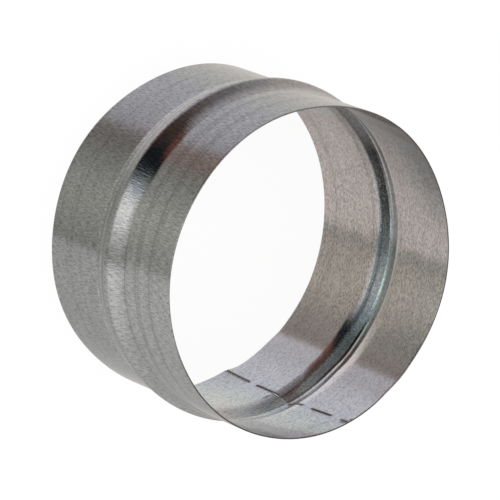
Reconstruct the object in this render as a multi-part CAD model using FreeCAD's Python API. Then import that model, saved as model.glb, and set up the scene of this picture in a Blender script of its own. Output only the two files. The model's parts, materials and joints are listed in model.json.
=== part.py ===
import FreeCAD, Part
import math
import os

# Duct connector: a short round sleeve rolled from one strip of galvanised sheet. A rounded V bead
# stands out round its middle and stops the two ducts that slide over its ends. The rolls turn the sheet
# out more tightly on the lower side of the bead than on the upper side. The ends of the strip meet edge
# to edge along one line at +Y, where short flush welds hold them. Between the welds the joint stays open
# as a narrow slit, except in the bead, where rolling has closed it.
# Millimetres. Z is the sleeve's axis, with the lower rim on z = 0.

# Sheet
SHEET_THICKNESS = 0.5
OUTER_DIAMETER = 124.2

# Straight ends, from each rim to the foot of the bead: how far a duct slides on
LOWER_SPIGOT_LENGTH = 30.0
UPPER_SPIGOT_LENGTH = 26.7

# Stop bead, measured on the outer skin
BEAD_RISE = 2.5
BEAD_FLANK_ANGLE = 20.0
BEAD_CREST_RADIUS = 5.0
LOWER_FOOT_RADIUS = 14.0
UPPER_FOOT_RADIUS = 20.0

# Butt seam: in order from the lower rim, then in order from the upper rim
SLIT_WIDTH = 0.8
LOWER_RIM_SLIT_LENGTH = 15.5
LOWER_WELD_LENGTH = 4.5
LOWER_SLIT_LENGTH = 14.5
UPPER_RIM_SLIT_LENGTH = 4.7
UPPER_WELD_LENGTH = 5.5
UPPER_SLIT_LENGTH = 12.0

# How far a cutter reaches past the skins and the rims
CUTTER_MARGIN = 1.0

OUTER_RADIUS = OUTER_DIAMETER / 2.0
FLANK = math.radians(BEAD_FLANK_ANGLE)


def flank_length(foot_radius):
    """The straight flank between a foot arc and the crest arc, from the rise that the arcs leave to it."""
    arcs = (foot_radius + BEAD_CREST_RADIUS) * (1.0 - math.cos(FLANK))
    return (BEAD_RISE - arcs) / math.sin(FLANK)


def half_width(foot_radius):
    """The distance along the axis from the start of a foot arc to the crest."""
    arcs = (foot_radius + BEAD_CREST_RADIUS) * math.sin(FLANK)
    return arcs + flank_length(foot_radius) * math.cos(FLANK)


CREST_HEIGHT = LOWER_SPIGOT_LENGTH + half_width(LOWER_FOOT_RADIUS)
LENGTH = CREST_HEIGHT + half_width(UPPER_FOOT_RADIUS) + UPPER_SPIGOT_LENGTH

# Lower and upper end of each slit of the seam
LOWER_SLIT_START = LOWER_RIM_SLIT_LENGTH + LOWER_WELD_LENGTH
UPPER_SLIT_END = LENGTH - UPPER_RIM_SLIT_LENGTH - UPPER_WELD_LENGTH
SLITS = [
    (-CUTTER_MARGIN, LOWER_RIM_SLIT_LENGTH),
    (LOWER_SLIT_START, LOWER_SLIT_START + LOWER_SLIT_LENGTH),
    (UPPER_SLIT_END - UPPER_SLIT_LENGTH, UPPER_SLIT_END),
    (LENGTH - UPPER_RIM_SLIT_LENGTH, LENGTH + CUTTER_MARGIN),
]


def skin_point(along, lift):
    """A point of the section in the XZ plane: along is measured from the bead's crest."""
    return FreeCAD.Vector(OUTER_RADIUS + lift, 0.0, CREST_HEIGHT + along)


def skin_edges(depth):
    """The edges of one skin of the sheet from the lower rim to the upper rim.

    depth is how far the skin lies under the outer skin, measured square to the sheet.
    """
    crest = BEAD_CREST_RADIUS - depth
    crest_centre = BEAD_RISE - BEAD_CREST_RADIUS

    def foot_point(side, turn):
        radius = LOWER_FOOT_RADIUS if side < 0 else UPPER_FOOT_RADIUS
        along = side * (half_width(radius) - (radius + depth) * math.sin(turn))
        return skin_point(along, radius - (radius + depth) * math.cos(turn))

    def crest_point(side, turn):
        return skin_point(side * crest * math.sin(turn), crest_centre + crest * math.cos(turn))

    lower_rim = FreeCAD.Vector(OUTER_RADIUS - depth, 0.0, 0.0)
    upper_rim = FreeCAD.Vector(OUTER_RADIUS - depth, 0.0, LENGTH)
    half = FLANK / 2.0
    return [
        Part.makeLine(lower_rim, foot_point(-1, 0.0)),
        Part.Arc(foot_point(-1, 0.0), foot_point(-1, half), foot_point(-1, FLANK)).toShape(),
        Part.makeLine(foot_point(-1, FLANK), crest_point(-1, FLANK)),
        Part.Arc(crest_point(-1, FLANK), crest_point(-1, 0.0), crest_point(1, FLANK)).toShape(),
        Part.makeLine(crest_point(1, FLANK), foot_point(1, FLANK)),
        Part.Arc(foot_point(1, FLANK), foot_point(1, half), foot_point(1, 0.0)).toShape(),
        Part.makeLine(foot_point(1, 0.0), upper_rim),
    ]


def sheet_section():
    """The sheet's section as a face in the XZ plane: both skins, joined by the two rims."""
    outer = skin_edges(0.0)
    inner = skin_edges(SHEET_THICKNESS)
    low = Part.makeLine(inner[0].Vertexes[0].Point, outer[0].Vertexes[0].Point)
    high = Part.makeLine(inner[-1].Vertexes[-1].Point, outer[-1].Vertexes[-1].Point)
    ordered = Part.__sortEdges__(outer + [high] + inner + [low])
    return Part.Face(Part.Wire(ordered))


def slit_cutter(low, high):
    """A thin block across the sheet at +Y, from one height to another."""
    inside = OUTER_RADIUS - SHEET_THICKNESS - CUTTER_MARGIN
    outside = OUTER_RADIUS + BEAD_RISE + CUTTER_MARGIN
    corner = FreeCAD.Vector(-SLIT_WIDTH / 2.0, inside, low)
    return Part.makeBox(SLIT_WIDTH, outside - inside, high - low, corner)


# The section turned once round, then the open parts of the seam cut out
sleeve = sheet_section().revolve(FreeCAD.Vector(0, 0, 0), FreeCAD.Vector(0, 0, 1), 360.0)
duct_connector = sleeve.cut([slit_cutter(low, high) for low, high in SLITS])

os.makedirs("parts", exist_ok=True)
duct_connector.exportStep("parts/duct_connector.step")
box = duct_connector.optimalBoundingBox()
print("solids", len(duct_connector.Solids), "valid", duct_connector.isValid())
print("size", round(box.XLength, 3), round(box.YLength, 3), round(box.ZLength, 3))
print("volume mm3", round(duct_connector.Volume, 1))
print("crest height", round(CREST_HEIGHT, 4), "length", round(LENGTH, 4))
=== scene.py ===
# %% [markdown]
# # A duct connector in galvanised sheet
# The object is a short round sleeve rolled from one strip of zinc-coated steel. Its ends slide into two
# ducts, and a bead round the middle stops them. Everything here follows the measured solid: the frame is
# loaded first, and the main sizes are read from it, so the picture can't drift away from the part.

# %% Load the frame and read its sizes
import json
import math
import bpy
import numpy as np
from mathutils import Matrix, Vector


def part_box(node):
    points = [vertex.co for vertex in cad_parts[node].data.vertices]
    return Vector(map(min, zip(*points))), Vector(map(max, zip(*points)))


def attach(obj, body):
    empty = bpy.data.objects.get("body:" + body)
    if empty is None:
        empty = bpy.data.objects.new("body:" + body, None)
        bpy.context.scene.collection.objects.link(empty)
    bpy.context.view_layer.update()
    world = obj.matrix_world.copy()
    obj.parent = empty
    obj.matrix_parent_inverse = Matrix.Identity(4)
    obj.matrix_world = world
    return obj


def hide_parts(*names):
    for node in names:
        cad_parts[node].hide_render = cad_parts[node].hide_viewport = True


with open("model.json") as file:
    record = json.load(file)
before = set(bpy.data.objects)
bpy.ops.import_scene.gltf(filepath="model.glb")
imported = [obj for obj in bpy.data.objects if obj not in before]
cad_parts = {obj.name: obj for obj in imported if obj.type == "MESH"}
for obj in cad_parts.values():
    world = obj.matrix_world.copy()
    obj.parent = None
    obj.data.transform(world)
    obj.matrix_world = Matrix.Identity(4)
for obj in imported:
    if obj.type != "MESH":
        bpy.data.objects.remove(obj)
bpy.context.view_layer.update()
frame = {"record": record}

MM = 0.001
NODE = "duct_connector"
low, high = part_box(NODE)
mounts = {mount["name"]: mount for mount in frame["record"]["mounts"]}

WALL_RADIUS = mounts["lower_spigot"]["dims"]["r_mm"] * MM
LOWER_LENGTH = mounts["lower_spigot"]["dims"]["length_mm"] * MM
UPPER_LENGTH = mounts["upper_spigot"]["dims"]["length_mm"] * MM
LENGTH = high[2] - low[2]
BEAD_RISE = high[0] - WALL_RADIUS
print("sleeve", round(LENGTH / MM, 2), "mm long, radius", round(WALL_RADIUS / MM, 2))
print("bead", round(BEAD_RISE / MM, 2), "mm high between straight ends of",
      round(LOWER_LENGTH / MM, 2), "and", round(UPPER_LENGTH / MM, 2), "mm")

# %% [markdown]
# ## The camera
# The photograph was taken with a long lens, so the two rims look almost equally large. It looks into the
# sleeve from 37 degrees off its axis. The part stands on its rim here, so the same view is from above,
# with the camera rolled on its side. A camera can be aimed with a constraint, but a matrix made from
# azimuth, elevation and roll keeps every number in sight and leaves nothing live in the file.

# %% Place the camera
VIEW_AZIMUTH = math.radians(49.721)
VIEW_ELEVATION = math.radians(52.653)
VIEW_ROLL = math.radians(110.771)
VIEW_DISTANCE = 1721.4 * MM
VIEW_AIM = Vector((0.254, 0.075, 38.994)) * MM
VIEW_LENS = 335.92
VIEW_SENSOR = 36.0
VIEW_REACH = 100.0


def view_matrix(azimuth, elevation, roll, distance, aim):
    """Camera matrix: backwards is the unit vector from the aim to the camera, right is level before the
    roll turns right and up together about the line of sight."""
    back = Vector((
        math.sin(azimuth) * math.cos(elevation),
        -math.cos(azimuth) * math.cos(elevation),
        math.sin(elevation),
    ))
    level = Vector((math.cos(azimuth), math.sin(azimuth), 0.0))
    upright = back.cross(level)
    right = level * math.cos(roll) + upright * math.sin(roll)
    up = back.cross(right)
    turned = Matrix((right, up, back)).transposed()
    return Matrix.Translation(aim + back * distance) @ turned.to_4x4()


camera_data = bpy.data.cameras.new("photo_camera")
camera_data.lens = VIEW_LENS
camera_data.sensor_width = VIEW_SENSOR
camera_data.clip_end = VIEW_REACH
camera = bpy.data.objects.new("photo_camera", camera_data)
camera.matrix_world = view_matrix(VIEW_AZIMUTH, VIEW_ELEVATION, VIEW_ROLL, VIEW_DISTANCE, VIEW_AIM)
bpy.context.scene.collection.objects.link(camera)
bpy.context.scene.camera = camera
bpy.context.scene.view_settings.view_transform = "Standard"
print("camera at", [round(value, 3) for value in camera.matrix_world.translation])

# %% [markdown]
# ## The sheet's section
# Cut the sleeve along its axis and the wall is a thin line with a rounded V in the middle. Metal rolls
# give a bead round feet, straight flanks and a round crest. A bend modifier could fake this, but
# reflections show every kink, so the section is written down as arcs and straight runs that meet
# without a corner, and each point also carries the slope of the sheet there.

# %% Work out the section of the outer skin
SHEET = 0.5 * MM
FLANK = math.radians(20.0)
CREST_RADIUS = 5.0 * MM
LOWER_FOOT_RADIUS = 14.0 * MM
UPPER_FOOT_RADIUS = 20.0 * MM
STRAIGHT_STEPS = 44
FOOT_STEPS = 14
LOWER_FLANK_STEPS = 10
UPPER_FLANK_STEPS = 6
CREST_STEPS = 9


def half_width(foot_radius):
    """From the start of a foot arc to the crest: both radii times the tangent of half the slope, plus
    the rise over the tangent of the slope."""
    return (foot_radius + CREST_RADIUS) * math.tan(FLANK / 2) + BEAD_RISE / math.tan(FLANK)


CREST_HEIGHT = LOWER_LENGTH + half_width(LOWER_FOOT_RADIUS)


def half_bead(foot_radius, flank_steps):
    """One side of the bead from foot to crest, as height below the crest, lift and slope.

    Foot: a circle of the foot radius that starts upright and turns by the flank angle. Flank: a straight
    run at that angle. Crest: a circle of the crest radius that turns back upright at the top.
    """
    turn = np.linspace(0.0, FLANK, FOOT_STEPS)
    start = -half_width(foot_radius)
    foot = np.stack([foot_radius * np.sin(turn) + start, foot_radius * (1 - np.cos(turn)), turn])
    back = np.linspace(FLANK, 0.0, CREST_STEPS)
    crest_lift = BEAD_RISE - CREST_RADIUS * (1 - np.cos(back))
    crest = np.stack([-CREST_RADIUS * np.sin(back), crest_lift, back])
    share = np.linspace(0.0, 1.0, flank_steps + 2)[1:-1]
    flank = foot[:, -1:] + (crest[:, :1] - foot[:, -1:]) * share
    return np.concatenate([foot, flank, crest], axis=1)


def outer_skin():
    """Height, lift and slope of the outer skin from rim to rim: straight, bead, straight.

    The upper side of the bead is made as the lower one is, without the crest's last point, and turned over.
    """
    lower = half_bead(LOWER_FOOT_RADIUS, LOWER_FLANK_STEPS)
    upper = half_bead(UPPER_FOOT_RADIUS, UPPER_FLANK_STEPS)[:, -2::-1]
    upper = upper * np.array([[-1.0], [1.0], [-1.0]])
    bead = np.concatenate([lower, upper], axis=1)
    bead[0] += CREST_HEIGHT
    share = np.arange(STRAIGHT_STEPS) / STRAIGHT_STEPS
    flat = np.zeros(STRAIGHT_STEPS)
    below = np.stack([LOWER_LENGTH * share, flat, flat])
    above = np.stack([LENGTH - UPPER_LENGTH * share[::-1], flat, flat])
    return np.concatenate([below, bead, above], axis=1)


height, lift, slope = outer_skin()
print("section points", height.size, "crest at", round(CREST_HEIGHT / MM, 2))

# %% [markdown]
# ## A closed line round the sheet's thickness
# The sheet is half a millimetre thick, and its cut rims show as a fine dark line. So the section is carried
# all the way round: up the outer skin, over the rim, down the inner skin and round the lower rim. The
# inner skin is the outer one moved square to the sheet, which keeps the thickness even in the bead.
# A Solidify modifier would do nearly the same, but this way the rims get their own small rounding, and
# two masks come along for free: which points lie inside, and which lie on the bare cut edge.

# %% Close the section with rounded rims
RIM_ROUND = 0.12 * MM
RIM_STEPS = 4


def closed_section():
    """Offset from the wall radius and height of each point of the closed line, with its two masks.

    The inner skin is the outer skin minus the thickness times the normal (cos slope, -sin slope). A rim
    is two quarter circles of the rim rounding, joined by the flat of the cut.
    """
    trimmed = height.copy()
    trimmed[0] += RIM_ROUND
    trimmed[-1] -= RIM_ROUND
    inner_offset = (lift - SHEET * np.cos(slope))[::-1]
    inner_height = (trimmed + SHEET * np.sin(slope))[::-1]
    turn = np.linspace(0.0, math.pi / 2, RIM_STEPS)[1:]
    back = turn[::-1]
    over = np.concatenate([RIM_ROUND * (np.cos(turn) - 1), RIM_ROUND * (1 - np.cos(back)) - SHEET])
    rise = np.concatenate([RIM_ROUND * (np.sin(turn) - 1), RIM_ROUND * (np.sin(back) - 1)])
    offset = np.concatenate([lift, over, inner_offset, over[::-1]])
    level = np.concatenate([trimmed, LENGTH + rise, inner_height, -rise[::-1]])
    skin = np.zeros(lift.size)
    rim = np.ones(over.size)
    across = np.linspace(0, 1, over.size)
    inside = np.concatenate([skin, across, skin + 1, across[::-1]])
    bare = np.concatenate([skin, rim, skin, rim])
    return offset, level, inside, bare


section_offset, section_height, section_inside, section_bare = closed_section()
print("closed section points", section_offset.size)

# %% [markdown]
# ## The butt seam
# The strip goes once round and its ends meet edge to edge. Short welds hold them, and between the welds
# the joint stays open as a slit that tapers at both ends. In the bead the rolls have pressed it shut. The
# strip's grid simply stops less than half a millimetre short of the seam on both sides, and its last
# rows are pulled together wherever the seam is closed. The slits are therefore real gaps that light goes
# through, with no cutting of the mesh. The seam isn't quite straight either, so it drifts with height.

# %% Work out the strip's angles beside the seam
SEAM_ANGLE = 90.0
SLIT_HALF_WIDTH = 0.27 * MM
HALF_GAP = math.degrees(SLIT_HALF_WIDTH / WALL_RADIUS)
# Degrees on each side of the seam where the rows are closer together, and where they are pulled to it
BESIDE = 4.0
PULL_REACH = 1.0
BESIDE_STEPS = 20
STRIP_STEPS = 230
# Ends of each slit, and how wide it opens
SLITS = np.array([(-5.0, 15.5), (20.0, 34.5), (56.0, 68.0), (73.5, 85.0)]) * MM
SLIT_OPEN = np.array([1.0, 1.0, 1.0, 0.5])
SLIT_TAPER = 1.6 * MM
DRIFT_HEIGHT = np.array([0.0, 18.0, 36.0, 55.0, 68.0, 78.0]) * MM
DRIFT_ANGLE = np.array([0.15, 0.2, 0.0, -0.1, 0.6, 0.6])


def path_angles():
    """Degrees from the seam along the strip, closer together beside the seam."""
    return np.concatenate([
        np.linspace(HALF_GAP, BESIDE, BESIDE_STEPS, endpoint=False),
        np.linspace(BESIDE, 360.0 - BESIDE, STRIP_STEPS, endpoint=False),
        np.linspace(360.0 - BESIDE, 360.0 - HALF_GAP, BESIDE_STEPS + 1),
    ])


def seam_open(level):
    """How far the seam is open: the distance past the slit's nearer end, eased over the taper, and
    nought at the welds."""
    past = np.minimum(level[..., None] - SLITS[:, 0], SLITS[:, 1] - level[..., None])
    share = np.clip(past / SLIT_TAPER + 0.5, 0.0, 1.0)
    return (share * share * (3 - 2 * share) * SLIT_OPEN).max(axis=-1)


def seam_angles(turned, level):
    """Angle in degrees: the place along the strip, pulled to the seam where it is closed, plus drift."""
    beside = np.minimum(turned, 360.0 - turned)
    side = np.where(turned < 180.0, 1.0, -1.0)
    near = np.clip(1 - (beside - HALF_GAP) / PULL_REACH, 0.0, 1.0)
    pull = near * (1 - seam_open(level)) * HALF_GAP
    drift = np.interp(level, DRIFT_HEIGHT, DRIFT_ANGLE) * np.exp(-(beside / BESIDE) ** 2)
    return SEAM_ANGLE + turned - side * pull + drift


strip_turn = path_angles()
print("rows along the strip", strip_turn.size, "half gap", round(HALF_GAP, 3), "degrees")

# %% [markdown]
# ## Out of round
# Thin sheet is never perfectly round. Slow waves round the sleeve, different at the two rims, bend its
# outline by some tenths of a millimetre, the bead wanders up and down by half a millimetre, the wall has
# a shallow buckle not far from the seam, and the lower rim has been knocked in a little at the seam. All
# are written as functions of the angle and the height and are added to the grid. They are small, but a
# mirror doubles every tilt, so they decide where the bands of light run.

# %% Define the waves, the wander, the buckle and the dent
# Turns round the sleeve, then cosine and sine parts at the lower and at the upper rim, in millimetres
WAVES = [
    (2, (-0.31, -0.07), (0.11, 0.08)),
    (3, (0.09, -0.18), (-0.13, -0.18)),
    (4, (-0.13, -0.21), (-0.01, -0.03)),
    (5, (0.10, 0.05), (0.13, 0.01)),
    (6, (0.16, 0.12), (-0.16, -0.05)),
]
# Lists by angle run once round from here, in degrees
FIRST_ANGLE = 70.0
WANDER_ANGLE = [70, 120, 160, 180, 195, 215, 235, 275, 288, 298, 320, 335, 350, 430]
WANDER = np.array([0.0, 0.0, 0.2, 0.3, 0.3, 0.0, -0.6, -0.6, 0.0, 0.4, 0.5, 0.2, 0.0, 0.0]) * MM
WANDER_REACH = 13.0 * MM
WANDER_SOFT = 15
BUCKLE_ANGLE = 113.0
BUCKLE_SPREAD = 5.5
BUCKLE_SIZE = 0.36 * MM
DENT_ANGLE = np.array([74.0, 79.0, 81.5, 84.5, 87.0, 89.8, 90.5, 91.8, 93.3, 95.0, 96.5])
DENT_DEPTH = np.array([0.0, 0.58, 0.82, 0.96, 1.14, 1.34, 1.2, 0.8, 0.5, 0.12, 0.0]) * MM
DENT_SPAN = np.linspace(FIRST_ANGLE, 100.0, 301)
DENT_REACH = 22.0 * MM
DENT_SOFT = 23


def once_round(angle):
    """The same angle in the turn that starts at the first angle of the lists."""
    return (angle - FIRST_ANGLE) % 360.0 + FIRST_ANGLE


def away_from(angle, centre):
    """Degrees from the centre, the short way round."""
    return (angle - centre + 180.0) % 360.0 - 180.0


def softened(values, samples):
    """A running mean over that many samples, with more weight on the middle ones."""
    window = np.hanning(samples)
    return np.convolve(values, window / window.sum(), mode="same")


def round_waves(angle, level):
    """A sum of cosines and sines of whole turns, each blended from the lower rim to the upper rim."""
    share = level / LENGTH
    total = np.zeros_like(angle)
    for turns, lower, upper in WAVES:
        part = np.radians(turns * angle)
        total += ((1 - share) * lower[0] + share * upper[0]) * np.cos(part)
        total += ((1 - share) * lower[1] + share * upper[1]) * np.sin(part)
    return total * MM


def bead_wander(angle, level):
    """How far the bead has wandered along the axis: softened steps by angle, closed round the sleeve,
    that fade over the reach on both sides of the crest."""
    fine = np.arange(0.0, 361.0)
    rough = np.interp(once_round(fine), WANDER_ANGLE, WANDER)
    before = rough[-1 - WANDER_SOFT:-1]
    after = rough[1:1 + WANDER_SOFT]
    soft = softened(np.concatenate([before, rough, after]), WANDER_SOFT)[WANDER_SOFT:-WANDER_SOFT]
    near = np.clip(1 - ((level - CREST_HEIGHT) / WANDER_REACH) ** 2, 0.0, 1.0) ** 2
    return np.interp(angle % 360.0, fine, soft) * near


def wall_buckle(angle):
    """A shallow S round the wall: the distance from its middle times e to the minus its square."""
    away = away_from(angle, BUCKLE_ANGLE) / BUCKLE_SPREAD
    return BUCKLE_SIZE * away * np.exp(-away ** 2)


def seam_dent(angle, level):
    """The dent's softened depth by angle, times a square that fades up from the rim."""
    soft = softened(np.interp(DENT_SPAN, DENT_ANGLE, DENT_DEPTH), DENT_SOFT)
    return np.interp(once_round(angle), DENT_SPAN, soft) * np.clip(1 - level / DENT_REACH, 0.0, 1.0) ** 2


print("waves", len(WAVES), "deepest dent", DENT_DEPTH.max() / MM, "mm")

# %% [markdown]
# ## The sleeve's surface
# Now the section is carried along the strip: two parameters, the place along the strip and the place
# round the section, give every point at once as arrays. Neighbours on that grid are then joined into
# faces. The grid is open at the seam, so each end of the strip also gets the faces of its own cut.


# %% Compute all points of the sleeve
def sleeve_points():
    """Radius = wall radius + section offset + waves + buckle - dent. Height = section height + wander."""
    level = section_height[None, :] + np.zeros((strip_turn.size, 1))
    angle = seam_angles(strip_turn[:, None] + np.zeros_like(level), level)
    bent = round_waves(angle, level) + wall_buckle(angle) - seam_dent(angle, level)
    radius = WALL_RADIUS + section_offset[None, :] + bent
    turn = np.radians(angle)
    height_now = level + bead_wander(angle, level)
    return np.stack([radius * np.cos(turn), radius * np.sin(turn), height_now], axis=-1), angle, level


points, point_angles, point_levels = sleeve_points()
print("grid", points.shape, "lowest", points[..., 2].min(),
      "highest", round(points[..., 2].max() / MM, 3))


# %% Join the grid into faces
def sleeve_faces(rows, columns, skin_count):
    """Quads between neighbours on the grid, closed round the section, and quads on each cut end.

    A cut end pairs each outer point with the inner point across the sheet. Its rims are small polygons.
    """
    row = np.arange(rows - 1)[:, None] * columns
    column = np.arange(columns)[None, :]
    after = (column + 1) % columns
    corners = [row + column, row + columns + column, row + columns + after, row + after]
    walls = np.stack(corners, axis=-1).reshape(-1, 4)
    rim = (columns - 2 * skin_count) // 2
    outer = np.arange(skin_count - 1)
    across = 2 * skin_count + rim - 1 - outer
    cut = np.stack([outer, outer + 1, across - 1, across], axis=-1)
    top = list(range(skin_count - 1, skin_count + rim + 1))
    bottom = list(range(2 * skin_count + rim - 1, columns)) + [0]
    last = (rows - 1) * columns
    joined = walls.tolist() + cut.tolist() + [top, bottom]
    joined += (cut[:, ::-1] + last).tolist()
    joined += [[last + index for index in reversed(ring)] for ring in (top, bottom)]
    return joined


faces = sleeve_faces(*points.shape[:2], lift.size)
print("sleeve faces", len(faces))

# %% [markdown]
# ## Marks that belong to places
# Some marks sit at known places on the sheet: the bare steel of the cut edges, which zinc partly covers on
# the upper rim, the heat tint beside the seam and the rings that the rolls left. Others are painted light:
# painted shade and highlights in the groove, and painted light, shade and reflection tints that change
# round
# both faces of the strip. They could be painted on an image, but point attributes on the mesh need no file:
# they are worked out from the same angles and heights as the surface, and the material reads them by name.
# One more attribute just says which face a point is on.

# %% Choose the painted light and shade on both faces
# Painted light and shade on the inner face: its tone by angle at both ends, and the heights in millimetres
# between which they blend
INNER_ANGLE = [70, 80, 100, 112, 120, 134, 152, 156, 159, 180, 195, 212, 285, 300, 345, 360, 430]
INNER_PAINTED_LIGHT_LOWER = [
    1.4, 1.6, 1.6, 1.65, 1.6, 1.22, 1.25, 1.14, 1.22, 1.25, 1.22, 1.0, 0.7, 1.3, 1.3, 1.0, 1.4,
]
INNER_PAINTED_LIGHT_UPPER = [
    1.15, 1.45, 1.6, 1.65, 1.6, 1.22, 1.25, 1.12, 1.22, 1.16, 0.86, 0.5, 0.6, 0.9, 0.9, 0.9, 1.05,
]
INNER_BLEND = (20.0, 56.0)
INNER_BRIGHTEST = 1.65
# Painted shade: how much darker the inner face gets toward the upper rim, by angle
SHADE_ANGLE = [70, 80, 90, 165, 172, 180, 188, 200, 212, 240, 300, 420, 430]
SHADE = [0.22, 0.16, 0.0, 0.0, 0.1, 0.28, 0.4, 0.4, 0.3, 0.2, 0.0, 0.1, 0.22]
SHADE_RISE = (54.0, 78.0)
# Painted light and shade on the outer face: its tone by angle below and above the bead, with a patch of
# painted shade on each
OUTER_ANGLE = [70, 285, 300, 325, 334, 338, 341, 365, 385, 394, 405, 414, 430]
OUTER_PAINTED_LIGHT_LOWER = [1.0, 1.0, 1.0, 1.0, 1.0, 0.83, 1.0, 1.0, 1.0, 1.0, 1.0, 1.0, 1.0]
OUTER_PAINTED_LIGHT_UPPER = [1.0, 1.0, 1.07, 1.14, 1.14, 1.12, 1.14, 1.14, 1.0, 0.75, 0.75, 1.0, 1.0]
OUTER_BLEND = (42.0, 54.0)
# Painted tint of reflected light on the inner face: warmth by angle, and the share lost toward the upper
# rim; below nought is cool
WARM_ANGLE = [70, 86, 100, 108, 120, 153, 156, 159, 205, 216, 415, 430]
INNER_REFLECTION_TINT = [-0.5, -0.65, 0.0, 0.0, 1.3, 1.3, 0.5, 1.4, 1.3, 0.0, 0.0, -0.5]
WARM_LOSS_ANGLE = [100, 108, 120, 135, 172, 190]
WARM_LOSS = [0.0, 0.9, 0.9, 0.45, 0.35, 0.8]
WARM_LOSS_RISE = (44.0, 78.0)
# Painted reflection of a rusty panel on the outer face above the bead: strength, angle, spread and the
# heights over which it sets in
GLOW = 1.7
GLOW_ANGLE = 298.5
GLOW_SPREAD = 5.0
GLOW_RISE = (44.0, 52.0)
print("tones by angle", len(INNER_ANGLE), "inside and", len(OUTER_ANGLE), "outside")

# %% Choose the groove's painted shade and highlights
# Painted shade and highlights in the groove: heights in millimetres at which each band starts, is full,
# fades and ends, and its tone by angle
GROOVE_ANGLE = [
    70, 80, 84, 89.5, 90.5, 94, 100, 108, 122, 130, 142,
    152, 165, 182, 192, 200, 216, 240, 405, 424, 430,
]
GROOVE_SHADE_AND_HIGHLIGHT_BANDS = [
    # Lower foot
    ((30.4, 31.6, 33.4, 34.4), [
        1.1, 1.0, 0.9, 0.9, 0.7, 0.7, 0.65, 1.2, 1.0, 0.95, 0.58,
        0.9, 0.72, 0.75, 0.7, 0.7, 0.8, 1.0, 1.0, 1.1, 1.1,
    ]),
    # Dark line where the foot ends
    ((33.6, 34.4, 35.6, 36.4), [
        1.1, 1.2, 1.3, 1.3, 0.9, 0.9, 0.85, 1.4, 1.1, 0.5, 0.36,
        0.58, 0.75, 0.9, 0.8, 0.65, 0.75, 1.0, 1.0, 1.0, 1.0,
    ]),
    # Flank that rises from there
    ((34.0, 35.5, 39.6, 40.6), [
        1.3, 1.5, 1.5, 1.5, 0.36, 0.34, 0.6, 0.42, 0.4, 0.75, 1.15,
        0.85, 0.8, 0.36, 0.12, 0.35, 0.65, 1.0, 1.0, 1.3, 1.3,
    ]),
    # Flank on the other side
    ((39.6, 40.6, 45.0, 47.0), [
        1.5, 1.6, 0.6, 0.75, 0.85, 0.9, 1.2, 2.0, 1.7, 1.0, 0.72,
        0.78, 0.78, 1.3, 1.6, 1.7, 1.3, 1.0, 1.0, 0.42, 1.4,
    ]),
    # Light line along the upper foot
    ((44.6, 45.3, 46.2, 47.2), [
        1.0, 1.0, 1.0, 1.0, 1.0, 1.0, 1.0, 1.0, 1.2, 2.0, 2.3,
        1.5, 1.1, 1.0, 1.0, 1.0, 1.0, 1.0, 1.0, 1.0, 1.0,
    ]),
]
# Painted tint of reflected light on the groove's lower side: warmth by angle, and its heights
COOL_ANGLE = [70, 76, 84, 89.5, 90.5, 94, 99, 108, 120, 130, 158, 166, 180, 190, 240, 424, 430]
GROOVE_REFLECTION_TINT = [-0.7, -1.0, -1.3, -1.2, 1.1, 1.0, -0.4, -0.6, -1.0, -1.8, -1.8, -1.0, -0.4, 0.3, 0.6, -0.1, -0.7]
COOL_BAND = (33.2, 34.4, 39.5, 41.5)
print("bands of painted_shade_and_highlight", len(GROOVE_SHADE_AND_HIGHLIGHT_BANDS))

# %% Choose the rings, the edges and the spots
# Rings left by the rolls on both faces: height and half width in millimetres, and the change of tone
OUTER_RINGS = [
    (3.6, 0.9, -0.05), (13.0, 0.8, -0.14), (19.4, 0.8, -0.05), (30.7, 0.45, 0.30), (32.6, 0.4, -0.20),
    (33.9, 0.45, 0.14), (36.4, 0.45, -0.36), (38.6, 0.5, -0.18), (49.4, 0.45, -0.18), (54.0, 1.2, 0.05),
    (56.3, 0.65, -0.22), (60.2, 1.3, 0.06), (65.3, 0.85, -0.21), (69.0, 1.3, 0.05),
]
INNER_RINGS = [
    (4.0, 1.4, 0.05), (7.9, 0.8, -0.05), (13.4, 0.8, -0.05), (16.4, 1.3, 0.05), (19.9, 0.7, -0.06),
    (66.5, 1.3, 0.03), (75.2, 1.0, 0.08),
]
# Heights between which the rolls chattered, and how much of it the inner face shows
OUTER_CHATTER = (40.2, 41.5, 48.0, 51.0)
INNER_CHATTER = (34.5, 35.5, 38.5, 40.0)
INNER_CHATTER_SHARE = 0.8
# How bare the cut of the upper rim is, by angle: where it is less than one, zinc has crept over it
BARE_ANGLE = [70, 100, 108, 124, 136, 215, 240, 260, 280, 355, 372, 380, 430]
BARENESS = [1.0, 1.0, 0.75, 0.8, 1.0, 0.95, 0.75, 0.75, 0.62, 0.65, 0.9, 1.0, 1.0]
# Height in millimetres that parts the upper rim from the lower one
HALF_WAY = 40.0
# Bare edges of the slits, the closed joint in the bead and the heat tint: strength and width in millimetres
EDGE_STRENGTH = 1.5
EDGE_WIDTH = 0.2
CLOSED_WIDTH = 0.6
CLOSED_BAND = (39.6, 40.6, 50.0, 52.0)
SCORCH_STRENGTH = 0.8
SCORCH_WIDTH = 0.7
# Heat and dirt spots: angle, height, half size round and along in millimetres
SCORCH_SPOTS = [(86.9, 31.5, 1.6, 0.7), (90.3, 76.0, 1.4, 1.9)]
DIRT_SPOT = (92.4, 77.6, 0.6, 0.7)
print("roll rings", len(OUTER_RINGS), "outside and", len(INNER_RINGS), "inside")

# %% Define the shapes of marks
MM_PER_DEGREE = math.radians(WALL_RADIUS / MM)


def bell(value, centre, spread):
    """One at the centre and falling as e to the minus square of the distance over the spread."""
    return np.exp(-((value - centre) / spread) ** 2)


def ramp(value, start, end):
    """A straight climb from nought to one."""
    return np.clip((value - start) / (end - start), 0.0, 1.0)


def step(value, start, end):
    """A smooth step from nought to one."""
    share = ramp(value, start, end)
    return share * share * (3 - 2 * share)


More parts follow.
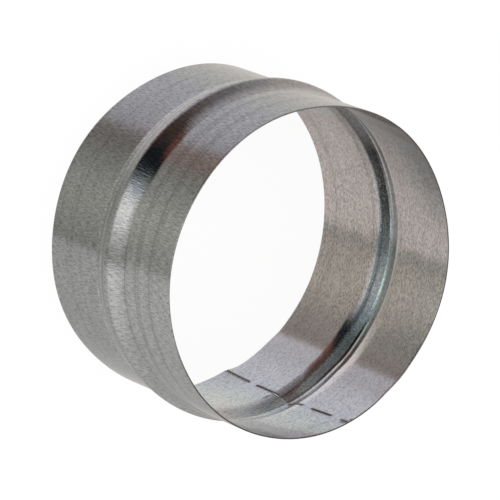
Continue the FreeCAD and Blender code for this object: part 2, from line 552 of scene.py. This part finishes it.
def band(level, start, full, fading, end):
    """A smooth step up at one height times a smooth step down at another."""
    return step(level, start, full) * (1 - step(level, fading, end))


def spot(level, angle, up, across, along):
    """A soft oval spot: a bell of the distance round the wall times a bell of the distance along it."""
    away = away_from(point_angles, angle) * MM_PER_DEGREE
    return bell(away, 0.0, across) * bell(level, up, along)


def ringed(tone, level, rings):
    """The tone with rings: for each, times one plus its change times a bell of the height."""
    for up, spread, change in rings:
        tone = tone * (1 + change * bell(level, up, spread))
    return tone


print("one degree is", round(MM_PER_DEGREE, 3), "mm round the wall")


# %% Work out the marks
def place_tone(level, inside, turn):
    """Tone by angle with painted light and shade, blended between the two ends, times the painted shade and
    highlights of the groove and the rings.
    """
    share = ramp(level, *INNER_BLEND)
    inner = (1 - share) * np.interp(turn, INNER_ANGLE, INNER_PAINTED_LIGHT_LOWER)
    inner += share * np.interp(turn, INNER_ANGLE, INNER_PAINTED_LIGHT_UPPER)
    inner *= 1 - np.interp(turn, SHADE_ANGLE, SHADE) * step(level, *SHADE_RISE)
    for heights, tones in GROOVE_SHADE_AND_HIGHLIGHT_BANDS:
        inner *= 1 + (np.interp(turn, GROOVE_ANGLE, tones) - 1) * band(level, *heights)
    inner = np.minimum(ringed(inner, level, INNER_RINGS), INNER_BRIGHTEST)
    above = step(level, *OUTER_BLEND)
    outer = (1 - above) * np.interp(turn, OUTER_ANGLE, OUTER_PAINTED_LIGHT_LOWER)
    outer += above * np.interp(turn, OUTER_ANGLE, OUTER_PAINTED_LIGHT_UPPER)
    outer = ringed(outer, level, OUTER_RINGS)
    return outer + (inner - outer) * inside


def place_warmth(level, inside, turn):
    """Painted tints of reflected light. Inside, warmth by angle, less toward the upper rim, with its own
    values in the groove. Outside, a painted reflection of a rusty panel: a bell of the angle times a smooth
    step up the wall."""
    loss = np.interp(turn, WARM_LOSS_ANGLE, WARM_LOSS) * step(level, *WARM_LOSS_RISE)
    warm = np.interp(turn, WARM_ANGLE, INNER_REFLECTION_TINT) * (1 - loss)
    warm += (np.interp(turn, COOL_ANGLE, GROOVE_REFLECTION_TINT) - warm) * band(level, *COOL_BAND)
    # A painted reflection of a rusty panel on the outer face
    glow = GLOW * bell(turn, GLOW_ANGLE, GLOW_SPREAD) * step(level, *GLOW_RISE)
    return inside * warm + (1 - inside) * glow


def place_edges(level, turn):
    """Bare metal and heat tint: bells of the distance from the strip's ends, the rims' cuts and spots."""
    beside = (np.minimum(strip_turn, 360.0 - strip_turn) - HALF_GAP)[:, None] * MM_PER_DEGREE
    opened = seam_open(point_levels)
    edge = np.minimum(EDGE_STRENGTH * bell(beside, 0.0, EDGE_WIDTH), 1.0) * opened
    closed = bell(beside, 0.0, CLOSED_WIDTH) * band(level, *CLOSED_BAND)
    cut = section_bare[None, :] * np.where(level > HALF_WAY, np.interp(turn, BARE_ANGLE, BARENESS), 1.0)
    bare = np.maximum.reduce([cut, edge, closed, spot(level, *DIRT_SPOT)])
    scorch = SCORCH_STRENGTH * opened * bell(beside, 0.0, SCORCH_WIDTH)
    scorch += sum(spot(level, *place) for place in SCORCH_SPOTS)
    return bare, np.clip(scorch, 0.0, 1.0)


def place_marks():
    """All marks at once, each an array over the grid."""
    level = point_levels / MM
    turn = once_round(point_angles)
    inside = section_inside[None, :] + np.zeros_like(level)
    bare, scorch = place_edges(level, turn)
    chatter = (1 - inside) * band(level, *OUTER_CHATTER)
    chatter += INNER_CHATTER_SHARE * inside * band(level, *INNER_CHATTER)
    return {
        "bare": bare,
        "scorch": scorch,
        "tone": place_tone(level, inside, turn),
        "warm": place_warmth(level, inside, turn),
        "chatter": chatter,
        "inner": inside,
    }


marks = place_marks()
print("marks", {name: round(float(values.mean()), 3) for name, values in marks.items()})

# %% Make the sleeve
SHARP_ANGLE = math.radians(50.0)


def make_sleeve():
    """A mesh object with the grid's points and faces, a map of the unrolled strip and the marks."""
    rows, columns = points.shape[:2]
    mesh = bpy.data.meshes.new("duct_sleeve")
    mesh.from_pydata(points.reshape(-1, 3), [], faces)
    along = np.repeat(np.radians(strip_turn) * WALL_RADIUS, columns)
    steps = np.hypot(np.diff(section_offset), np.diff(section_height))
    around = np.tile(np.concatenate([[0.0], np.cumsum(steps)]), rows)
    corner = np.empty(len(mesh.loops), dtype=np.int32)
    mesh.loops.foreach_get("vertex_index", corner)
    layer = mesh.uv_layers.new(name="strip")
    layer.data.foreach_set("uv", np.stack([along[corner], around[corner]], axis=-1).ravel())
    for name, values in marks.items():
        mesh.attributes.new(name, "FLOAT", "POINT").data.foreach_set("value", values.ravel())
    mesh.shade_smooth()
    mesh.set_sharp_from_angle(angle=SHARP_ANGLE)
    mesh.validate()
    made = bpy.data.objects.new("duct_sleeve", mesh)
    bpy.context.scene.collection.objects.link(made)
    return made


sleeve = make_sleeve()
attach(sleeve, "root")
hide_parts(NODE)
print("sleeve points", len(sleeve.data.vertices))

# %% [markdown]
# ## Helpers for node trees
# Materials below are small networks of nodes. A few helpers keep the cells short: one adds a node and sets
# its values by name, and the others wrap the nodes that are used most.


# %% Define the node helpers
def node(tree, kind, inputs=None, **settings):
    """Adds a node, sets its properties, then its inputs: a socket is linked and a value is stored."""
    made = tree.nodes.new(kind)
    for name, value in settings.items():
        setattr(made, name, value)
    for name, value in (inputs or {}).items():
        if isinstance(value, bpy.types.NodeSocket):
            tree.links.new(value, made.inputs[name])
        else:
            made.inputs[name].default_value = value
    return made


def maths(tree, operation, first, second=0.0, third=0.0):
    """A Math node's result."""
    return node(tree, "ShaderNodeMath", {0: first, 1: second, 2: third}, operation=operation).outputs[0]


def fade(tree, value, start, end, low_value=0.0, high_value=1.0):
    """A smooth step from one value to another."""
    limits = {"From Min": start, "From Max": end, "To Min": low_value, "To Max": high_value}
    ranged = node(tree, "ShaderNodeMapRange", {"Value": value, **limits}, interpolation_type="SMOOTHSTEP")
    return ranged.outputs["Result"]


def blend(tree, mask, first, second):
    """A colour between two, by a mask."""
    return node(tree, "ShaderNodeMix", {0: mask, 6: first, 7: second}, data_type="RGBA").outputs[2]


def seen_rays(tree):
    """A mask that is one for rays from the camera and for those that pass through something clear."""
    rays = node(tree, "ShaderNodeLightPath").outputs
    return maths(tree, "MAXIMUM", rays["Is Camera Ray"], rays["Is Transmission Ray"])


print("helpers ready")

# %% [markdown]
# ## Zinc grain
# Hot-dipped sheet that has been through a skin pass has a fine grain and small dark pits. On the outer face
# the grain shows as short streaks along the sleeve's axis, and on the inner face as a hatch that runs
# round it. Forming adds two things: faint lines round the sleeve where the rolls ran, and short ticks
# across the bead's flank where they chattered. The group below gives them all as masks from the strip's
# own map, so they stay on the sheet through the bead.

# %% Build the grain group
# Size round the sleeve and along its axis in millimetres, detail, and a shift that sets each noise apart
GRAIN_NOISE = {
    "Streaks": (0.36, 3.0, 2.0, 3.1),
    "Hatch": (1.15, 0.55, 2.0, 5.3),
    "Specks": (0.9, 0.7, 1.0, 17.3),
    "Clouds": (9.0, 16.0, 3.0, 41.0),
    "Lines": (150.0, 1.1, 2.0, 7.7),
    "Chatter": (0.7, 4.0, 1.0, 23.0),
}
# Limits of a noise between which it turns into a mask
GRAIN_LIMITS = {"Specks": (0.59, 0.71), "Lines": (0.50, 0.75)}


def grain_group():
    """Each output is a noise, stretched by its own sizes along and across the strip's map. Specks and
    lines are the parts of theirs that pass a limit."""
    tree = bpy.data.node_groups.new("zinc_grain", "ShaderNodeTree")
    tree.interface.new_socket("Map", in_out="INPUT", socket_type="NodeSocketVector")
    for name in GRAIN_NOISE:
        tree.interface.new_socket(name, in_out="OUTPUT", socket_type="NodeSocketFloat")
    source = node(tree, "NodeGroupInput")
    target = node(tree, "NodeGroupOutput")
    for name, (across, along, detail, shift) in GRAIN_NOISE.items():
        scale = (1 / (across * MM), 1 / (along * MM), 1.0)
        placing = {"Vector": source.outputs["Map"], "Scale": scale, "Location": (shift, shift, shift)}
        placed = node(tree, "ShaderNodeMapping", placing).outputs[0]
        noise = node(tree, "ShaderNodeTexNoise", {"Vector": placed, "Scale": 1.0, "Detail": detail})
        value = noise.outputs["Fac"]
        if name in GRAIN_LIMITS:
            value = fade(tree, value, *GRAIN_LIMITS[name])
        tree.links.new(value, target.inputs[name])
    return tree


zinc_grain = grain_group()
print("grain outputs", [socket.name for socket in zinc_grain.interface.items_tree])

# %% [markdown]
# ## The galvanised finish
# Zinc is a grey metal with a satin shine. Its colour carries the grain and a faint cloudiness, its
# roughness changes a little with the streaks, and a bump gives the grain some depth. The marks then change
# it by place: painted light and shade brighten and darken it, painted reflection tints warm and cool it,
# bare edges are darker and rougher, and scorched zinc turns brown.

# %% Build the galvanised material
# Range of the streaks, then the tones that it turns into
ZINC_TONES = (0.25, 0.75, 0.41, 0.79)
# The same for the other parts of the grain, which darken or lighten the zinc
GRAIN_TONES = {
    "Specks": (0.0, 1.0, 1.0, 0.72),
    "Clouds": (0.3, 0.7, 0.97, 1.03),
    "Lines": (0.0, 1.0, 1.0, 0.85),
}
ZINC_ROUGHNESS = (0.2, 0.8, 0.09, 0.15)
WARM_RED = 0.10
WARM_BLUE = -0.03
SCORCH_COLOUR = (0.18, 0.125, 0.10, 1.0)
SCORCH_COVER = 0.8
BARE_COLOUR = (0.12, 0.10, 0.09, 1.0)
BARE_ROUGHNESS = 0.5
CHATTER_DEPTH = 3.0
GRAIN_DEPTH = 0.04 * MM
GRAIN_STRENGTH = 0.4


def galvanised_material():
    """Metal with grain in its colour, roughness and normal, and the marks laid over it."""
    material = bpy.data.materials.new("galvanised_sheet")
    material.use_nodes = True
    tree = material.node_tree
    tree.nodes.clear()

    def mark(name):
        return node(tree, "ShaderNodeAttribute", attribute_name=name).outputs["Fac"]

    def times(first, second):
        return maths(tree, "MULTIPLY", first, second)

    strip = node(tree, "ShaderNodeUVMap", uv_map="strip").outputs["UV"]
    grain = node(tree, "ShaderNodeGroup", {"Map": strip}, node_tree=zinc_grain).outputs
    by_face = {0: mark("inner"), 2: grain["Streaks"], 3: grain["Hatch"]}
    streaks = node(tree, "ShaderNodeMix", by_face, data_type="FLOAT").outputs[0]
    value = fade(tree, streaks, *ZINC_TONES)
    for name, tones in GRAIN_TONES.items():
        value = times(value, fade(tree, grain[name], *tones))
    # The tone mark brings painted light and shade, and the rolls' rings
    value = times(value, mark("tone"))
    # The warm mark tints the colour with painted reflections
    red = times(value, maths(tree, "MULTIPLY_ADD", mark("warm"), WARM_RED, 1.0))
    blue = times(value, maths(tree, "MULTIPLY_ADD", mark("warm"), WARM_BLUE, 1.0))
    colour = node(tree, "ShaderNodeCombineColor", {"Red": red, "Green": value, "Blue": blue}).outputs[0]
    colour = blend(tree, times(mark("scorch"), SCORCH_COVER), colour, SCORCH_COLOUR)
    colour = blend(tree, mark("bare"), colour, BARE_COLOUR)
    rough = fade(tree, streaks, *ZINC_ROUGHNESS)
    rough = maths(tree, "MAXIMUM", rough, times(mark("bare"), BARE_ROUGHNESS))
    ticks = times(times(grain["Chatter"], CHATTER_DEPTH), mark("chatter"))
    relief = {"Height": maths(tree, "ADD", streaks, ticks)}
    bump = node(tree, "ShaderNodeBump", {**relief, "Strength": GRAIN_STRENGTH, "Distance": GRAIN_DEPTH})
    surface = {"Base Color": colour, "Roughness": rough, "Normal": bump.outputs["Normal"]}
    shader = node(tree, "ShaderNodeBsdfPrincipled", {**surface, "Metallic": 1.0})
    node(tree, "ShaderNodeOutputMaterial", {"Surface": shader.outputs[0]})
    return material


sleeve.data.materials.append(galvanised_material())
print("material", sleeve.data.materials[0].name)

# %% [markdown]
# ## The floor
# The part stands on a plain pale floor. The camera sees it near white, with a soft shadow: most of its
# tone is a steady glow that the view rays see, and the rest is real light that the part can block. The
# floor is left out of mirror rays, because they see the panels of the studio in its place.

# %% Lay the floor
FLOOR_HALF = 40.0
FLOOR_GLOW = 0.9
FLOOR_COLOUR = (0.14, 0.14, 0.14, 1.0)
WHITE = (1.0, 1.0, 1.0, 1.0)


def floor_material():
    """A glow for the rays that are seen, added to a matt surface that takes light and shadow."""
    material = bpy.data.materials.new("pale_floor")
    material.use_nodes = True
    tree = material.node_tree
    tree.nodes.clear()
    strength = maths(tree, "MULTIPLY", seen_rays(tree), FLOOR_GLOW)
    light = node(tree, "ShaderNodeEmission", {"Color": WHITE, "Strength": strength})
    matt = node(tree, "ShaderNodeBsdfDiffuse", {"Color": FLOOR_COLOUR})
    both = node(tree, "ShaderNodeAddShader", {0: light.outputs[0], 1: matt.outputs[0]})
    node(tree, "ShaderNodeOutputMaterial", {"Surface": both.outputs[0]})
    return material


def make_floor():
    """A flat square at the height of the lower rim."""
    corners = np.array([[-1, -1, 0], [1, -1, 0], [1, 1, 0], [-1, 1, 0]]) * FLOOR_HALF
    mesh = bpy.data.meshes.new("floor")
    mesh.from_pydata(corners, [], [[0, 1, 2, 3]])
    mesh.materials.append(floor_material())
    made = bpy.data.objects.new("floor", mesh)
    bpy.context.scene.collection.objects.link(made)
    made.visible_glossy = False
    return made


floor = make_floor()
print("floor half side", FLOOR_HALF, "m")

# %% [markdown]
# ## The studio round the part
# Metal shows its surroundings, so the light is a ring of soft panels rather than one lamp. The straight
# walls mirror what lies steeply below, the bead's near flank mirrors what lies near the level, and its far
# flank looks almost straight down. So there are three rings, each a colour ramp over the azimuth measured
# from the camera's side. A black flag with a rusty foot stands to one side of a bright window, and a faint
# rusty strip runs low along the far sides. Above the panels the studio is white, for mirror rays too, and
# the camera sees white all round.

# %% Choose the panels
# Tints
NEUTRAL = (1.0, 1.0, 0.98)
WARM = (1.04, 1.0, 0.96)
ORANGE = (1.14, 1.0, 0.95)
RUST = (1.09, 1.0, 0.96)
BROWN = (1.5, 1.0, 0.9)
LAVENDER = (1.01, 1.0, 1.08)
BLUE = (0.9, 1.0, 1.08)
OLIVE = (0.99, 1.0, 0.92)
# Azimuth in degrees, brightness and tint of each edge of a panel
LOW_RING = [
    (-180, 0.45, WARM), (-150, 0.64, WARM), (-125, 0.66, WARM), (-95, 0.62, LAVENDER),
    (-70, 0.56, RUST), (-55, 0.48, RUST), (-38, 0.36, OLIVE), (0, 0.36, OLIVE),
    (20, 0.35, OLIVE), (38, 0.31, OLIVE), (50, 0.36, OLIVE), (70, 0.46, NEUTRAL),
    (130, 0.48, NEUTRAL), (155, 0.45, NEUTRAL), (180, 0.45, WARM),
]
STEEP_RING = [
    (-180, 0.62, WARM), (-155, 0.65, WARM), (-130, 0.59, WARM), (-120, 0.57, NEUTRAL),
    (-111, 0.545, NEUTRAL), (-101, 0.51, LAVENDER), (-75, 0.465, LAVENDER), (-57, 0.39, LAVENDER),
    (-51, 0.22, RUST), (-42, 0.18, RUST), (-22, 0.28, OLIVE), (0, 0.38, OLIVE),
    (10, 0.38, OLIVE), (28, 0.33, OLIVE), (37, 0.32, OLIVE), (42, 0.47, NEUTRAL),
    (60, 0.48, NEUTRAL), (95, 0.45, NEUTRAL), (120, 0.45, NEUTRAL), (145, 0.48, NEUTRAL),
    (180, 0.62, WARM),
]
LEVEL_RING = [
    (-180, 0.46, ORANGE), (-155, 0.50, ORANGE), (-130, 0.40, ORANGE), (-105, 0.23, RUST),
    (-85, 0.09, RUST), (-68, 0.07, BROWN), (-50, 0.05, BROWN), (-36, 0.015, NEUTRAL),
    (-26, 0.03, BLUE), (-17, 0.15, BLUE), (-8, 0.55, BLUE), (-1, 0.92, NEUTRAL),
    (6, 1.0, NEUTRAL), (14, 0.80, NEUTRAL), (22, 0.56, NEUTRAL), (30, 0.40, NEUTRAL),
    (34, 0.40, NEUTRAL), (39, 0.78, NEUTRAL), (54, 0.74, NEUTRAL), (85, 0.57, NEUTRAL),
    (130, 0.52, NEUTRAL), (155, 0.49, NEUTRAL), (180, 0.46, ORANGE),
]
NADIR_LIGHT = (0.32, 0.32, 0.30, 1.0)
# Elevations in degrees between which one ring gives way to the next
NADIR_TO_LOW = (-90, -68)
LOW_TO_STEEP = (-62, -54)
STEEP_TO_LEVEL = (-48, -18)
LEVEL_TO_WHITE = (15, 35)
print("panels", len(LOW_RING), len(STEEP_RING), len(LEVEL_RING))

# %% Choose the flag and the rusty strip
FLAG_RUST = (0.14, 0.06, 0.047, 1.0)
FLAG_BROWN = (0.06, 0.04, 0.034, 1.0)
FLAG_BLACK = (0.010, 0.014, 0.018, 1.0)
# Azimuths of the flag's soft sides, and those over which its foot and its top turn black
FLAG_LEFT = (-64, -50)
FLAG_RIGHT = (-25, -12)
FOOT_TO_BLACK = (-40, -28)
TOP_TO_BLACK = (-46, -32)
# Elevations of the flag's soft lower edge, and those over which its foot ends
FLAG_START = (-54, -41)
FLAG_FOOT_END = (-42, -24)
# Elevations of the strip's soft edges, and its cover by azimuth on both far sides
STRIP_RUST = (0.40, 0.29, 0.25, 1.0)
STRIP_START = (-52, -44)
STRIP_END = (-38, -26)
STRIP_LEFT = (-110, -70, 0.25, 0.0)
STRIP_RIGHT = (130, 165, 0.0, 0.4)
print("flag from", FLAG_LEFT[0], "to", FLAG_RIGHT[1], "degrees")


# %% Build the studio world
def panel_ring(tree, share, panels):
    """A colour ramp over the share of the full turn, one stop for each panel edge."""
    ring = node(tree, "ShaderNodeValToRGB", {"Fac": share})
    stops = ring.color_ramp.elements
    stops.remove(stops[0])
    for index, (edge, level, tint) in enumerate(panels):
        place = (edge + 180) / 360
        stop = stops[0] if index == 0 else stops.new(place)
        stop.position = place
        stop.color = (*(level * value for value in tint), 1.0)
    return ring.outputs["Color"]


def ring_light(tree, azimuth, elevation):
    """The rings from straight below to the level, each blended into the next over some elevations."""
    share = maths(tree, "MULTIPLY_ADD", azimuth, 1 / 360, 0.5)
    low_ring, steep_ring, level_ring = (
        panel_ring(tree, share, panels) for panels in (LOW_RING, STEEP_RING, LEVEL_RING))
    start, end = STEEP_TO_LEVEL
    climb = node(tree, "ShaderNodeMapRange", {"Value": elevation, "From Min": start, "From Max": end})
    light = blend(tree, fade(tree, elevation, *NADIR_TO_LOW), NADIR_LIGHT, low_ring)
    light = blend(tree, fade(tree, elevation, *LOW_TO_STEEP), light, steep_ring)
    return blend(tree, climb.outputs["Result"], light, level_ring)


def add_flag(tree, azimuth, elevation, light):
    """The flag covers the light between its sides and above its lower edge; its foot is rusty."""
    left = fade(tree, azimuth, *FLAG_LEFT)
    right = fade(tree, azimuth, *FLAG_RIGHT, 1.0, 0.0)
    sides = maths(tree, "MULTIPLY", left, right)
    cover = maths(tree, "MULTIPLY", sides, fade(tree, elevation, *FLAG_START))
    top = blend(tree, fade(tree, azimuth, *TOP_TO_BLACK), FLAG_BROWN, FLAG_BLACK)
    foot = blend(tree, fade(tree, azimuth, *FOOT_TO_BLACK), FLAG_RUST, FLAG_BLACK)
    return blend(tree, cover, light, blend(tree, fade(tree, elevation, *FLAG_FOOT_END), foot, top))


def add_strip(tree, azimuth, elevation, light):
    """The rusty strip tints the light between two elevations on both far sides."""
    start = fade(tree, elevation, *STRIP_START)
    end = fade(tree, elevation, *STRIP_END, 1.0, 0.0)
    sides = maths(tree, "ADD", fade(tree, azimuth, *STRIP_LEFT), fade(tree, azimuth, *STRIP_RIGHT))
    cover = maths(tree, "MULTIPLY", maths(tree, "MULTIPLY", start, end), sides)
    return blend(tree, cover, light, STRIP_RUST)


def make_studio():
    """The world's light from its direction: azimuth picks the panel, elevation picks the ring."""
    world = bpy.data.worlds.new("studio")
    bpy.context.scene.world = world
    world.use_nodes = True
    tree = world.node_tree
    tree.nodes.clear()
    direction = node(tree, "ShaderNodeTexCoord").outputs["Generated"]
    facing = (0.0, 0.0, math.pi / 2 - VIEW_AZIMUTH)
    turned = node(tree, "ShaderNodeMapping", {"Vector": direction, "Rotation": facing})
    parts = node(tree, "ShaderNodeSeparateXYZ", {"Vector": turned.outputs[0]}).outputs
    azimuth = maths(tree, "DEGREES", maths(tree, "ARCTAN2", parts["Y"], parts["X"]))
    elevation = maths(tree, "DEGREES", maths(tree, "ARCSINE", parts["Z"]))
    light = ring_light(tree, azimuth, elevation)
    light = add_flag(tree, azimuth, elevation, light)
    light = blend(tree, fade(tree, elevation, *LEVEL_TO_WHITE), light, WHITE)
    light = add_strip(tree, azimuth, elevation, light)
    light = blend(tree, seen_rays(tree), light, WHITE)
    ground = node(tree, "ShaderNodeBackground", {"Color": light, "Strength": 1.0})
    node(tree, "ShaderNodeOutputWorld", {"Surface": ground.outputs[0]})
    return world


studio = make_studio()
print("studio nodes", len(studio.node_tree.nodes))
